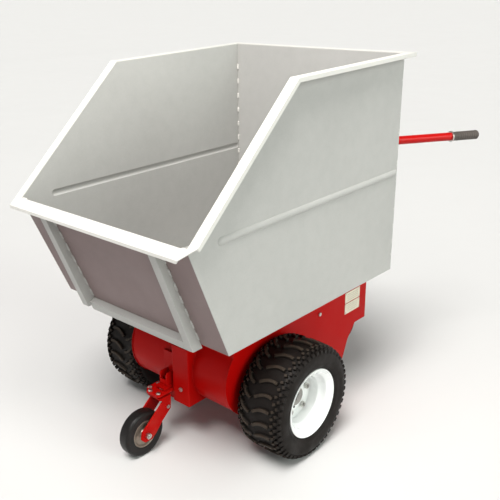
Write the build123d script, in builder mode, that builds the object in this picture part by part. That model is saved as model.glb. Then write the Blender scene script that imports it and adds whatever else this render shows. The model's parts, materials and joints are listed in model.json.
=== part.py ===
from build123d import *
import os
from math import cos, radians, sin

# Powered garden cart with a tipping hopper.
# Frame: +Z up, origin on the ground under the drive axle, -Y towards the dump lip,
# +X to the operator's left. Millimetres.

os.makedirs("parts", exist_ok=True)

# ---------------------------------------------------------------- driving dimensions
TYRE_RADIUS = 203.0          # 16x7.50-8 tyre
TYRE_HALF_WIDTH = 95.0
WHEEL_X = 342.0              # half the track
AXLE_Z = TYRE_RADIUS

HOPPER_HALF = 381.0          # outside of the side walls
SHEET = 1.9                  # hopper walls
FRONT_SHEET = 3.4            # dump panel
FLOOR_Z = 515.0
FLOOR_FRONT_Y = -360.0
REAR_Y = 535.0
BEND_Y = -90.0               # where the rim turns down to the lip
BEND_Z = 1276.0
REAR_RIM_Z = 1302.0
MOUTH_DEG = 43.23            # slope of the mouth below horizontal
LIP_INNER = 580.0            # along the mouth, from the bend
LIP_OUTER = 612.0

RIM_SHEET = 3.0
RIM_REACH = 30.0             # how far the rim stands out from the wall
RIM_LEG = 10.0
FRONT_LEG = 10.0             # the lip's upright edge, from its top

HINGE_Y = -225.0
HINGE_Z = 488.0
PIN_RADIUS = 8.0
RUNNING = 0.05               # radial clearance of a running fit

CHASSIS_HALF = 235.0
PLATE = 3.0
DECK_Z = 465.0
DRUM_Y = -72.0
DRUM_Z = 280.0
DRUM_RADIUS = 150.0
SHELL = 8.0
SHELL_INSET = 3.0
TAIL_Y = 611.0
TAIL_Z = 246.0
PLATE_TOP = 510.0

SHAFT_RADIUS = 12.5
RIM_HALF = 84.0              # half the wheel rim's width over the flanges
RIM_FLANGE_RADIUS = 122.0
LUG_CIRCLE = 57.15           # radius of the lug circle
LUG_COUNT = 5

KINGPIN_X = -28.0
KINGPIN_Y = -263.0
CASTER_Y = -369.5
CASTER_RADIUS = 82.0
CASTER_HALF_WIDTH = 22.0
CASTER_HUB_RADIUS = 49.0
FORK_HALF = 32.0
FORK_SHEET = 6.0

TUBE_RADIUS = 16.7
TUBE_WALL = 1.65
HANDLE_X = 142.0
HANDLE_Y = 632.0
HANDLE_FOOT_Z = 420.0
HANDLE_TOP_Z = 944.7
GRIP_END = (389.0, 1162.0, 931.8)
GRIP_LENGTH = 128.0

MOUTH_ALONG = (-cos(radians(MOUTH_DEG)), -sin(radians(MOUTH_DEG)))
MOUTH_UP = (-sin(radians(MOUTH_DEG)), cos(radians(MOUTH_DEG)))
RIM_RISE = (REAR_RIM_Z - BEND_Z) / (REAR_Y - BEND_Y)


# ---------------------------------------------------------------- helpers
def save(part, name):
    part.label = name
    export_step(part, f"parts/{name}.step")


def mouth(along, up=0.0):
    """Point (y, z) on the sloping mouth, along it from the bend and square to it."""
    y = BEND_Y + along * MOUTH_ALONG[0] + up * MOUTH_UP[0]
    z = BEND_Z + along * MOUTH_ALONG[1] + up * MOUTH_UP[1]
    return (y, z)


def rear_rim(y, down=0.0):
    """Point (y, z) on the nearly level rim behind the bend."""
    return (y, BEND_Z + RIM_RISE * (y - BEND_Y) - down)


def rim_bend(down):
    """Where the level and the sloping line meet, both moved down by one depth."""
    climb = MOUTH_UP[1] - 1 - RIM_RISE * MOUTH_UP[0]
    along = down * climb / (MOUTH_ALONG[1] - RIM_RISE * MOUTH_ALONG[0])
    return mouth(along, -down)


def slab_x(outline, low_x, width):
    """Flat piece with a (y, z) outline, from low_x along +X."""
    with BuildPart() as slab:
        with BuildSketch(Plane.YZ.offset(low_x)):
            with BuildLine():
                Polyline(*outline, close=True)
            make_face()
        extrude(amount=width)
    return slab.part


def sides(side, inner, outer):
    """Low x and width of a span that lies inner..outer from the middle on one side."""
    return min(side * inner, side * outer), abs(outer - inner)


def joined(parts, name):
    """Several separate solids kept together in one node."""
    save(Compound(children=list(parts)), name)


SIDES = {"left": 1, "right": -1}

# ---------------------------------------------------------------- hopper
floor_front = (FLOOR_FRONT_Y, FLOOR_Z)
floor_rear = (REAR_Y, FLOOR_Z)
wall_rear = rear_rim(REAR_Y, RIM_SHEET)
wall_bend = rim_bend(RIM_SHEET)
wall_lip = mouth(LIP_INNER, -RIM_SHEET)
side_outline = [floor_front, floor_rear, wall_rear, wall_bend, wall_lip]

BEAD_FRONT = (-385.0, 872.0)
BEAD_REAR = (520.0, 888.0)
BEAD_WIDTH = 24.0
BEAD_HEIGHT = 6.0
bead_round = (BEAD_WIDTH ** 2 / 4 + BEAD_HEIGHT ** 2) / (2 * BEAD_HEIGHT)
bead_centre_x = HOPPER_HALF + BEAD_HEIGHT - bead_round


def bead_capsule(side, radius):
    """Round-ended bar along the pressed bead of one side wall."""
    start = (side * bead_centre_x, *BEAD_FRONT)
    run = (0, BEAD_REAR[0] - BEAD_FRONT[0], BEAD_REAR[1] - BEAD_FRONT[1])
    length = (run[1] ** 2 + run[2] ** 2) ** 0.5
    foot = Plane(origin=start, x_dir=(1, 0, 0), z_dir=run)
    with BuildPart() as capsule:
        with BuildSketch(foot):
            Circle(radius)
        extrude(amount=length)
        with Locations(foot, foot.offset(length)):
            Sphere(radius)
    return capsule.part



for name, side in SIDES.items():
    low, width = sides(side, HOPPER_HALF - SHEET, HOPPER_HALF)
    inside = Plane.YZ.offset(side * (HOPPER_HALF - SHEET))
    with BuildPart() as hopper_side:
        with BuildSketch(Plane.YZ.offset(low)):
            with BuildLine():
                Polyline(*side_outline, close=True)
            make_face()
        extrude(amount=width)
        add(bead_capsule(side, bead_round))
        split(bisect_by=inside, keep=Keep.TOP if side > 0 else Keep.BOTTOM)
        add(bead_capsule(side, bead_round - SHEET), mode=Mode.SUBTRACT)
    save(hopper_side.part, f"hopper_{name}_side")

inner_half = HOPPER_HALF - SHEET
inner_width = 2 * inner_half
panel_run = (wall_lip[0] - floor_front[0], wall_lip[1] - floor_front[1])
panel_length = (panel_run[0] ** 2 + panel_run[1] ** 2) ** 0.5
PANEL_ALONG = (panel_run[0] / panel_length, panel_run[1] / panel_length)
PANEL_OUT = (-PANEL_ALONG[1], PANEL_ALONG[0])


def panel(along, out=0.0):
    """Point (y, z) on the dump panel's outer face, up it from the floor and out from it."""
    y = FLOOR_FRONT_Y + along * PANEL_ALONG[0] + out * PANEL_OUT[0]
    z = FLOOR_Z + along * PANEL_ALONG[1] + out * PANEL_OUT[1]
    return (y, z)


panel_level = FRONT_SHEET / PANEL_ALONG[1]
panel_meets_mouth = abs(PANEL_ALONG[0] * MOUTH_ALONG[1] - PANEL_ALONG[1] * MOUTH_ALONG[0])
PANEL_EDGE = LIP_INNER - FRONT_SHEET / panel_meets_mouth
panel_top_inner = mouth(PANEL_EDGE, -RIM_SHEET)
front_outline = [floor_front, (FLOOR_FRONT_Y + panel_level, FLOOR_Z), panel_top_inner, wall_lip]
front_panel = slab_x(front_outline, -inner_half, inner_width)
save(front_panel, "hopper_front_panel")

lean = panel_run[0] / panel_run[1]
floor_outline = [
    (FLOOR_FRONT_Y + panel_level, FLOOR_Z),
    (REAR_Y - SHEET, FLOOR_Z),
    (REAR_Y - SHEET, FLOOR_Z + SHEET),
    (FLOOR_FRONT_Y + panel_level + SHEET * lean, FLOOR_Z + SHEET),
]
save(slab_x(floor_outline, -inner_half, inner_width), "hopper_floor")

rear_outline = [
    floor_rear,
    wall_rear,
    rear_rim(REAR_Y - SHEET, RIM_SHEET),
    (REAR_Y - SHEET, FLOOR_Z),
]
save(slab_x(rear_outline, -inner_half, inner_width), "hopper_rear_wall")

# Rim: an angle section, a flat plate on the walls with a short leg at its outer edge.
RIM_OUT = HOPPER_HALF + RIM_REACH
RIM_BACK_Y = REAR_Y + RIM_REACH
CUT_ACROSS = 42.0            # the cut front corner, across and along the rim
CUT_ALONG = 48.0


def rim_band(depth):
    """(y, z) outline of a band of one depth along the whole side rim."""
    return [
        rear_rim(RIM_BACK_Y),
        (BEND_Y, BEND_Z),
        mouth(LIP_OUTER),
        mouth(LIP_OUTER, -depth),
        rim_bend(depth),
        rear_rim(RIM_BACK_Y, depth),
    ]


front_leg_inner = LIP_OUTER + RIM_SHEET * (1 + MOUTH_UP[0]) / MOUTH_ALONG[0]
lip_edge = mouth(LIP_OUTER)
leg_foot_z = lip_edge[1] - FRONT_LEG
front_leg = [
    lip_edge,
    (lip_edge[0], leg_foot_z),
    (lip_edge[0] + RIM_SHEET, leg_foot_z),
    mouth(front_leg_inner, -RIM_SHEET),
]
mouth_plane = Plane(
    origin=(0, BEND_Y, BEND_Z), x_dir=(1, 0, 0), z_dir=(0, MOUTH_UP[0], MOUTH_UP[1])
)


# Prism that takes the left front corner off the rim, square to the mouth.
with BuildPart() as corner_cut:
    with BuildSketch(mouth_plane.offset(-2 * RIM_LEG)):
        with BuildLine():
            Polyline(
                (RIM_OUT - 1.5 * CUT_ACROSS, -LIP_OUTER - 0.5 * CUT_ALONG),
                (RIM_OUT + 0.5 * CUT_ACROSS, -LIP_OUTER + 1.5 * CUT_ALONG),
                (RIM_OUT + 0.5 * CUT_ACROSS, -LIP_OUTER - 0.5 * CUT_ALONG),
                close=True,
            )
        make_face()
    extrude(amount=3 * RIM_LEG)

for name, side in SIDES.items():
    plate_low, plate_width = sides(side, inner_half, RIM_OUT)
    leg_low, leg_width = sides(side, RIM_OUT - RIM_SHEET, RIM_OUT)
    with BuildPart() as side_rim:
        with BuildSketch(Plane.YZ.offset(plate_low)):
            with BuildLine():
                Polyline(*rim_band(RIM_SHEET), close=True)
            make_face()
        extrude(amount=plate_width)
        with BuildSketch(Plane.YZ.offset(leg_low)):
            with BuildLine():
                Polyline(*rim_band(RIM_SHEET + RIM_LEG), close=True)
            make_face()
        extrude(amount=leg_width)
        with BuildSketch(Plane.YZ.offset(plate_low)):
            with BuildLine():
                Polyline(*front_leg, close=True)
            make_face()
        extrude(amount=plate_width)
        if side > 0:
            add(corner_cut.part, mode=Mode.SUBTRACT)
    save(side_rim.part, f"rim_{name}")

with BuildPart() as rim_rear:
    with BuildSketch(Plane.YZ.offset(-inner_half)):
        with BuildLine():
            Polyline(
                rear_rim(REAR_Y - SHEET),
                rear_rim(RIM_BACK_Y),
                rear_rim(RIM_BACK_Y, RIM_SHEET + RIM_LEG),
                rear_rim(RIM_BACK_Y - RIM_SHEET, RIM_SHEET + RIM_LEG),
                rear_rim(RIM_BACK_Y - RIM_SHEET, RIM_SHEET),
                rear_rim(REAR_Y - SHEET, RIM_SHEET),
                close=True,
            )
        make_face()
    extrude(amount=inner_width)
save(rim_rear.part, "rim_rear")

with BuildPart() as rim_front:
    with BuildSketch(Plane.YZ.offset(-inner_half)):
        with BuildLine():
            Polyline(
                mouth(PANEL_EDGE),
                *front_leg,
                mouth(PANEL_EDGE, -RIM_SHEET),
                close=True,
            )
        make_face()
    extrude(amount=inner_width)
    add(corner_cut.part, mode=Mode.SUBTRACT)
save(rim_front.part, "rim_front")

# Two box uprights and a bar stiffen the dump panel.
UPRIGHT_INNER = 237.0
UPRIGHT_WIDTH = 30.0
UPRIGHT_DEPTH = 36.0
UPRIGHT_TOP_DEPTH = 24.0
UPRIGHT_FOOT = -16.5
UPRIGHT_TOP = 389.5
BAR_LOW = -24.0
BAR_HIGH = 10.0
BAR_DEPTH = 24.0
upright_outline = [
    panel(UPRIGHT_FOOT),
    panel(UPRIGHT_FOOT - UPRIGHT_DEPTH * lean, UPRIGHT_DEPTH),
    panel(UPRIGHT_TOP - 9.0, UPRIGHT_TOP_DEPTH),
    panel(UPRIGHT_TOP),
]
for name, side in SIDES.items():
    low, width = sides(side, UPRIGHT_INNER, UPRIGHT_INNER + UPRIGHT_WIDTH)
    with BuildPart() as upright:
        with BuildSketch(Plane.YZ.offset(low)):
            with BuildLine():
                Polyline(*upright_outline, close=True)
            make_face()
        extrude(amount=width)
        long_edges = upright.edges().filter_by(lambda edge: edge.length > UPRIGHT_TOP / 2)
        fillet(long_edges.group_by(Axis.Y)[0], 2.0)
    save(upright.part, f"upright_{name}")

bar_outline = [
    panel(BAR_LOW),
    panel(BAR_LOW, BAR_DEPTH),
    panel(BAR_HIGH, BAR_DEPTH),
    panel(BAR_HIGH),
]
save(slab_x(bar_outline, -UPRIGHT_INNER, 2 * UPRIGHT_INNER), "front_crossmember")

# Dump hinge: lugs under the hopper either side of an ear on the deck, one pin each side.
HINGE_MID = 171.0
EAR_HALF = 5.0
LUG_SHEET = 10.0
LUG_GAP = 1.0
KNUCKLE_RADIUS = 16.0
pin_bore = PIN_RADIUS + RUNNING


def knuckle(low, width, foot_y, foot_z, foot_width, foot_height, bore):
    """Rounded hinge plate: a bored round end joined by its tangents to a foot."""
    with BuildPart() as plate:
        with BuildSketch(Plane.YZ.offset(low)):
            with Locations((HINGE_Y, HINGE_Z)):
                Circle(KNUCKLE_RADIUS)
            with Locations((foot_y, foot_z)):
                Rectangle(foot_width, foot_height)
            make_hull()
            with Locations((HINGE_Y, HINGE_Z)):
                Circle(bore, mode=Mode.SUBTRACT)
        extrude(amount=width)
    return plate.part


lugs = []
ears = []
pins = []
for side in SIDES.values():
    for inner in (HINGE_MID - EAR_HALF - LUG_GAP - LUG_SHEET, HINGE_MID + EAR_HALF + LUG_GAP):
        low, width = sides(side, inner, inner + LUG_SHEET)
        lugs.append(knuckle(low, width, HINGE_Y, FLOOR_Z - 3, 60, 6, pin_bore))
    low, width = sides(side, HINGE_MID - EAR_HALF, HINGE_MID + EAR_HALF)
    ears.append(knuckle(low, width, -140, DECK_Z + 7, 60, 14, PIN_RADIUS))
    low, width = sides(side, HINGE_MID - 23, HINGE_MID + 20)
    head_low, head_width = sides(side, HINGE_MID + 16.3, HINGE_MID + 21.3)
    with BuildPart() as pin:
        with BuildSketch(Plane.YZ.offset(low)):
            with Locations((HINGE_Y, HINGE_Z)):
                Circle(PIN_RADIUS)
        extrude(amount=width)
        with BuildSketch(Plane.YZ.offset(head_low)):
            with Locations((HINGE_Y, HINGE_Z)):
                RegularPolygon(13, 6)
        extrude(amount=head_width)
    pins.append(pin.part)
joined(lugs, "hinge_lugs")
joined(ears, "hinge_ears")
joined(pins, "hinge_pins")

# ---------------------------------------------------------------- chassis shell
DRUM_END_DEG = 138.2         # where the round front turns up to the deck
NOSE_TOP = (-170.0, PLATE_TOP)
FOOT_REAR = (458.0, 112.0)
FOOT_FRONT = (447.0, 113.0)
SLANT_LOW = (491.0, 190.0)
SLANT_HIGH = (538.0, TAIL_Z)


for name, side in SIDES.items():
    low, width = sides(side, CHASSIS_HALF - PLATE, CHASSIS_HALF)
    with BuildPart() as side_plate:
        with BuildSketch(Plane.YZ.offset(low)):
            with BuildLine():
                arc = CenterArc((DRUM_Y, DRUM_Z), DRUM_RADIUS, DRUM_END_DEG, 270 - DRUM_END_DEG)
                Polyline(
                    arc @ 1, FOOT_FRONT, FOOT_REAR, SLANT_LOW, SLANT_HIGH,
                    (TAIL_Y, TAIL_Z), (TAIL_Y, PLATE_TOP), NOSE_TOP, arc @ 0,
                )
            make_face()
            with Locations((0, AXLE_Z)):
                Circle(30, mode=Mode.SUBTRACT)
        extrude(amount=width)
        foot_edges = side_plate.edges().filter_by(Axis.X).group_by(Axis.Z)[0]
        fillet(foot_edges, 8)
    save(side_plate.part, f"chassis_{name}_plate")

between = 2 * (CHASSIS_HALF - PLATE)
between_low = -between / 2
shell_outer = DRUM_RADIUS - SHELL_INSET
shell_inner = shell_outer - SHELL
with BuildPart() as front_shell:
    with BuildSketch(Plane.YZ.offset(between_low)):
        with BuildLine():
            outer = CenterArc((DRUM_Y, DRUM_Z), shell_outer, DRUM_END_DEG, 270 - DRUM_END_DEG)
            inner = CenterArc((DRUM_Y, DRUM_Z), shell_inner, DRUM_END_DEG, 270 - DRUM_END_DEG)
            Line(outer @ 1, inner @ 1)
            Polyline(
                outer @ 0,
                (NOSE_TOP[0] + SHELL_INSET, DECK_Z),
                (NOSE_TOP[0] + SHELL_INSET + SHELL, DECK_Z),
                inner @ 0,
            )
        make_face()
    extrude(amount=between)
save(front_shell.part, "front_shell")

DECK = 2.5
deck_front = NOSE_TOP[0] + SHELL_INSET + SHELL
with BuildPart() as deck_plate:
    with BuildSketch(Plane.XY.offset(DECK_Z - DECK)):
        with Locations((0, (deck_front + TAIL_Y - 8) / 2)):
            Rectangle(between, TAIL_Y - 8 - deck_front)
    extrude(amount=DECK)
save(deck_plate.part, "deck_plate")

PAN = 2.0
pan_front = (DRUM_Y, DRUM_Z - shell_outer)
pan_rear = (FOOT_FRONT[0], FOOT_FRONT[1] + SHELL_INSET)
pan_outline = [
    pan_front, pan_rear, (pan_rear[0], pan_rear[1] + PAN), (pan_front[0], pan_front[1] + PAN),
]
save(slab_x(pan_outline, between_low, between), "belly_pan")

# The tail is a bent sheet: a level floor and an upright rear face.
TAIL_SHEET = 2.5
tail_rear = TAIL_Y - 5
tail_outline = [
    (SLANT_HIGH[0] + 6, TAIL_Z + 1),
    (tail_rear, TAIL_Z + 1),
    (tail_rear, DECK_Z),
    (tail_rear - TAIL_SHEET, DECK_Z),
    (tail_rear - TAIL_SHEET, TAIL_Z + 1 + TAIL_SHEET),
    (SLANT_HIGH[0] + 6, TAIL_Z + 1 + TAIL_SHEET),
]
save(slab_x(tail_outline, between_low, between), "tail_panel")

COVER = 3.0
with BuildPart() as rear_cover:
    with BuildSketch(Plane.YZ.offset(between_low)):
        with BuildLine():
            low_end = (FOOT_FRONT[0] + 4.5, FOOT_FRONT[1] + 4)
            knee = (SLANT_LOW[0] - 3, SLANT_LOW[1] + 1)
            high_end = (SLANT_HIGH[0] + 3, TAIL_Z + 1)
            Line(low_end, knee)
            ThreePointArc(knee, (522.0, 211.0), high_end)
            back = Line(high_end, (high_end[0] - COVER, high_end[1]))
            inner_bulge = ThreePointArc(back @ 1, (520.0, 213.0), (knee[0] - COVER, knee[1] + 1))
            Polyline(inner_bulge @ 1, (low_end[0] - COVER, low_end[1]), low_end)
        make_face()
    extrude(amount=between)
save(rear_cover.part, "rear_cover")

PAD_GAP = 0.3
pads = []
for side in SIDES.values():
    for y in (-60.0, 480.0):
        with BuildPart() as pad:
            with BuildSketch(Plane.XY.offset(PLATE_TOP)):
                with Locations((side * (CHASSIS_HALF - PLATE / 2), y)):
                    RectangleRounded(12, 70, 4)
            extrude(amount=FLOOR_Z - PLATE_TOP - PAD_GAP)
        pads.append(pad.part)
joined(pads, "rest_pads")

# ---------------------------------------------------------------- power pack
BATTERY_X = 116.0
BATTERY_SIZE = (222.0, 138.0, 200.0)
BATTERY_Y = -92.0
BATTERY_LOW = 252.0
BATTERY_WALL = 5.0
CELLS = 6
CELL_SIZE = (30.0, 118.0, 97.0)

cases = []
cells = []
for side in SIDES.values():
    centre = (side * BATTERY_X, BATTERY_Y)
    with BuildPart() as case:
        with BuildSketch(Plane.XY.offset(BATTERY_LOW)):
            with Locations(centre):
                RectangleRounded(BATTERY_SIZE[0], BATTERY_SIZE[1], 8)
        extrude(amount=BATTERY_SIZE[2])
        inside_height = BATTERY_SIZE[2] - 2 * BATTERY_WALL
        with BuildSketch(Plane.XY.offset(BATTERY_LOW + BATTERY_WALL)):
            with Locations(centre):
                with GridLocations(CELL_SIZE[0] + 5, 0, CELLS, 1):
                    Rectangle(CELL_SIZE[0] + 0.4, CELL_SIZE[1] + 0.4)
        extrude(amount=inside_height, mode=Mode.SUBTRACT)
    cases.append(case.part)
    with BuildPart() as pack:
        with BuildSketch(Plane.XY.offset(BATTERY_LOW + BATTERY_WALL)):
            with Locations(centre):
                with GridLocations(CELL_SIZE[0] + 5, 0, CELLS, 1):
                    Rectangle(CELL_SIZE[0], CELL_SIZE[1])
        extrude(amount=CELL_SIZE[2])
    cells.extend(pack.part.solids())
joined(cases, "battery_cases")
joined(cells, "battery_cells")

# Transaxle: gear case on the axle with the motor beside it, parallel to the axle.
MOTOR_Y = -112.0
MOTOR_Z = 202.0
MOTOR_RADIUS = 44.0
CASE_HALF = 30.0
with BuildPart() as gearbox:
    with BuildSketch(Plane.YZ.offset(-CASE_HALF)):
        with Locations((0, AXLE_Z)):
            Circle(46)
        with Locations((MOTOR_Y, MOTOR_Z)):
            Circle(MOTOR_RADIUS + 3)
        make_hull()
    extrude(amount=2 * CASE_HALF)
    fillet(gearbox.faces().filter_by(Axis.X).edges(), 4)
save(gearbox.part, "gearbox")

with BuildPart() as drive_motor:
    with BuildSketch(Plane.YZ.offset(CASE_HALF)):
        with Locations((MOTOR_Y, MOTOR_Z)):
            Circle(MOTOR_RADIUS)
    extrude(amount=165)
    with BuildSketch(Plane.YZ.offset(CASE_HALF + 165)):
        with Locations((MOTOR_Y, MOTOR_Z)):
            Circle(MOTOR_RADIUS - 10)
    extrude(amount=14)
save(drive_motor.part, "drive_motor")

AXLE_TUBE_RADIUS = 30.0
AXLE_TUBE_END = 243.0
tubes = []
for side in SIDES.values():
    low, width = sides(side, CASE_HALF, AXLE_TUBE_END)
    with BuildPart() as axle_tube:
        with BuildSketch(Plane.YZ.offset(low)):
            with Locations((0, AXLE_Z)):
                Circle(AXLE_TUBE_RADIUS)
                Circle(SHAFT_RADIUS + RUNNING, mode=Mode.SUBTRACT)
        extrude(amount=width)
    tubes.append(axle_tube.part)
joined(tubes, "axle_tubes")

with BuildPart() as controller:
    with BuildSketch(Plane.XY.offset(330)):
        with Locations((0, 520)):
            RectangleRounded(120, 110, 6)
    extrude(amount=DECK_Z - DECK - 330)
save(controller.part, "controller")

# ---------------------------------------------------------------- front post and caster mount
POST_X = (0.0, 78.0)
POST_Y = (-240.0, -150.0)
POST_Z = (160.0, 377.0)
POST_WALL = 10.0
WELD_GAP = 0.05              # between the drum and what is welded to its round front
with BuildPart() as front_post:
    with BuildSketch(Plane.XY.offset(POST_Z[0])):
        with Locations((sum(POST_X) / 2, sum(POST_Y) / 2)):
            Rectangle(POST_X[1] - POST_X[0], POST_Y[1] - POST_Y[0])
    extrude(amount=POST_Z[1] - POST_Z[0])
    upright_edges = front_post.edges().filter_by(Axis.Z).group_by(Axis.Y)[0]
    fillet(upright_edges, 3)
    with BuildSketch(Plane.XY.offset(POST_Z[0])):
        with Locations((sum(POST_X) / 2, sum(POST_Y) / 2)):
            Rectangle(POST_X[1] - POST_X[0] - 2 * POST_WALL, POST_Y[1] - POST_Y[0] - 2 * POST_WALL)
    extrude(amount=POST_Z[1] - POST_Z[0] - POST_WALL, mode=Mode.SUBTRACT)
    # The rear of the post is cut to the drum that it is welded to.
    with BuildSketch(Plane.YZ.offset(POST_X[0] - 1)):
        with Locations((DRUM_Y, DRUM_Z)):
            Circle(shell_outer + WELD_GAP)
        with Locations((DRUM_Y + 50, 400)):
            Rectangle(2 * 145, 300)
    extrude(amount=POST_X[1] - POST_X[0] + 2, mode=Mode.SUBTRACT)
save(front_post.part, "front_post")

TOP_PLATE_Z = (195.0, 204.0)
TAB_Z = (209.0, 217.0)
CHEEK_TOP = 264.0
CHEEK_SHEET = 6.0
with BuildPart() as mount_plate:
    with BuildSketch(Plane.XZ.offset(214)):
        with Locations((-30.3, 240)):
            Rectangle(59.4, 180)
    extrude(amount=8)
    with BuildSketch(Plane.YZ.offset(-61)):
        with Locations((DRUM_Y, DRUM_Z)):
            Circle(shell_outer + WELD_GAP)
    extrude(amount=62, mode=Mode.SUBTRACT)
with BuildPart() as mount_gusset:
    with BuildSketch(Plane.YZ.offset(-58)):
        with BuildLine():
            Polyline((-214, 170), (-150, 170), (-150, 310), (-214, 310), close=True)
        make_face()
        with Locations((DRUM_Y, DRUM_Z)):
            Circle(shell_outer + WELD_GAP, mode=Mode.SUBTRACT)
    extrude(amount=8)


with BuildPart() as swivel_bracket:
    for cheek_x in (-47.0, -17.0):
        with BuildSketch(Plane.YZ.offset(cheek_x)):
            with BuildLine():
                Polyline(
                    (-222, TAB_Z[1]), (-222, CHEEK_TOP), (-252, CHEEK_TOP),
                    (-258, CHEEK_TOP - 8), (-258, TAB_Z[1]), close=True,
                )
            make_face()
        extrude(amount=CHEEK_SHEET)
    with BuildSketch(Plane.XZ.offset(252)):
        with Locations((-29, TAB_Z[1] + 10)):
            Rectangle(30, 20)
    extrude(amount=CHEEK_SHEET)
    with BuildSketch(Plane.XY.offset(TAB_Z[0])):
        with BuildLine():
            Polyline((-50, -274), (-8, -274), (-8, -222), (-50, -222), close=True)
        make_face()
    extrude(amount=TAB_Z[1] - TAB_Z[0])
    with BuildSketch(Plane.XY.offset(TOP_PLATE_Z[1])):
        with Locations((-46.5, -248), (-11.5, -248)):
            Rectangle(7, 52)
    extrude(amount=TAB_Z[0] - TOP_PLATE_Z[1])
kingpin_bore = PIN_RADIUS + RUNNING
with BuildPart() as caster_top_plate:
    with BuildSketch(Plane.XY.offset(TOP_PLATE_Z[0])):
        with BuildLine():
            Polyline(
                (-78, -246), (-78, -290), (-60, -310), (-6, -310), (-0.3, -300), (-0.3, -222.3),
                (-60, -222.3), close=True,
            )
        make_face()
        with Locations((KINGPIN_X, KINGPIN_Y)):
            Circle(kingpin_bore, mode=Mode.SUBTRACT)
    extrude(amount=TOP_PLATE_Z[1] - TOP_PLATE_Z[0])
caster_bracket = [mount_plate.part, swivel_bracket.part, caster_top_plate.part]
joined(caster_bracket + mount_gusset.part.solids(), "caster_bracket")


def bolt_head(plane, radius, height):
    """Hexagon head with its top edges eased."""
    with BuildPart() as head:
        with BuildSketch(plane):
            RegularPolygon(radius, 6)
        extrude(amount=height)
        chamfer(head.faces().sort_by(Axis(plane.origin, plane.z_dir))[-1].edges(), height * 0.15)
    return head.part


bolts = []
for spot in ((-66, -288), (-48, -302), (-11, -299), (-66, -250)):
    bolts.append(bolt_head(Plane.XY.offset(TOP_PLATE_Z[1]).move(Location((*spot, 0))), 8, 6))
post_front = Plane(origin=(41, POST_Y[0], 217), x_dir=(1, 0, 0), z_dir=(0, -1, 0))
bolts.append(bolt_head(post_front, 8, 6))
for side in SIDES.values():
    plate_face = Plane(
        origin=(side * CHASSIS_HALF, 292, 369), x_dir=(0, 1, 0), z_dir=(side, 0, 0)
    )
    bolts.append(bolt_head(plate_face, 8, 5))
joined(bolts, "frame_bolts")

with BuildPart() as data_plate:
    with BuildSketch(Plane.YZ.offset(CHASSIS_HALF)):
        with Locations((512, 327.6), (512, 374.2)):
            RectangleRounded(102, 43, 2)
    extrude(amount=1)
joined(data_plate.part.solids(), "data_plate")

# ---------------------------------------------------------------- front caster
axle_bolt_radius = 6.0
fork_low_x = KINGPIN_X - FORK_HALF
fork_high_x = KINGPIN_X + FORK_HALF
CROWN_Z = (184.0, 190.0)
arm_outline = [
    (-304, CROWN_Z[1]), (-294, 177), (-365, 119), (-390, 100), (-395, 74), (-380, 58),
    (-350, 58), (-329, 73), (-302, 103), (-259, 138), (-255, CROWN_Z[1]),
]
with BuildPart() as caster_fork:
    for low in (fork_low_x, fork_high_x - FORK_SHEET):
        with BuildSketch(Plane.YZ.offset(low)):
            with BuildLine():
                Polyline(*arm_outline, close=True)
            make_face()
            with Locations((CASTER_Y, CASTER_RADIUS)):
                Circle(axle_bolt_radius, mode=Mode.SUBTRACT)
        extrude(amount=FORK_SHEET)
    with BuildSketch(Plane.XY.offset(CROWN_Z[0])):
        with Locations((KINGPIN_X, -279.5)):
            Rectangle(2 * FORK_HALF, 49)
    extrude(amount=CROWN_Z[1] - CROWN_Z[0])
    with BuildSketch(Plane.XY.offset(CROWN_Z[1])):
        with Locations((KINGPIN_X, KINGPIN_Y)):
            Circle(22)
    extrude(amount=TOP_PLATE_Z[0] - 0.3 - CROWN_Z[1])
save(caster_fork.part, "caster_fork")

with BuildPart() as kingpin:
    with BuildSketch(Plane.XY.offset(TOP_PLATE_Z[0] - 0.3)):
        with Locations((KINGPIN_X, KINGPIN_Y)):
            Circle(PIN_RADIUS)
    extrude(amount=TOP_PLATE_Z[1] - TOP_PLATE_Z[0] + 4.5)
    with BuildSketch(Plane.XY.offset(TOP_PLATE_Z[1] + 0.3)):
        with Locations((KINGPIN_X, KINGPIN_Y)):
            RegularPolygon(12, 6)
    extrude(amount=4)

with BuildPart() as caster_axle:
    with BuildSketch(Plane.YZ.offset(fork_low_x - 14)):
        with Locations((CASTER_Y, CASTER_RADIUS)):
            Circle(axle_bolt_radius)
    extrude(amount=2 * FORK_HALF + 28)
    for low in (fork_low_x - 10, fork_high_x):
        with BuildSketch(Plane.YZ.offset(low)):
            with Locations((CASTER_Y, CASTER_RADIUS)):
                RegularPolygon(11, 6)
        extrude(amount=10)

fork_fasteners = [kingpin.part, caster_axle.part]
ARM_BOLT = (-272.0, 150.0)
for low, direction in ((fork_low_x, -1), (fork_high_x, 1)):
    arm_face = Plane(origin=(low, *ARM_BOLT), x_dir=(0, 1, 0), z_dir=(direction, 0, 0))
    fork_fasteners.append(bolt_head(arm_face, 7, 5))
joined(fork_fasteners, "caster_fasteners")

caster_spin = Axis((0, CASTER_Y, CASTER_RADIUS), (1, 0, 0))
caster_mid = Plane.XZ.offset(-CASTER_Y)
with BuildPart() as caster_tyre:
    with BuildSketch(Plane.YZ.offset(KINGPIN_X - CASTER_HALF_WIDTH)):
        with Locations((CASTER_Y, CASTER_RADIUS)):
            Circle(CASTER_RADIUS)
            Circle(CASTER_HUB_RADIUS, mode=Mode.SUBTRACT)
    extrude(amount=2 * CASTER_HALF_WIDTH)
    fillet(caster_tyre.edges().filter_by(GeomType.CIRCLE).group_by(SortBy.RADIUS)[-1], 9)
save(caster_tyre.part, "caster_tyre")

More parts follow.
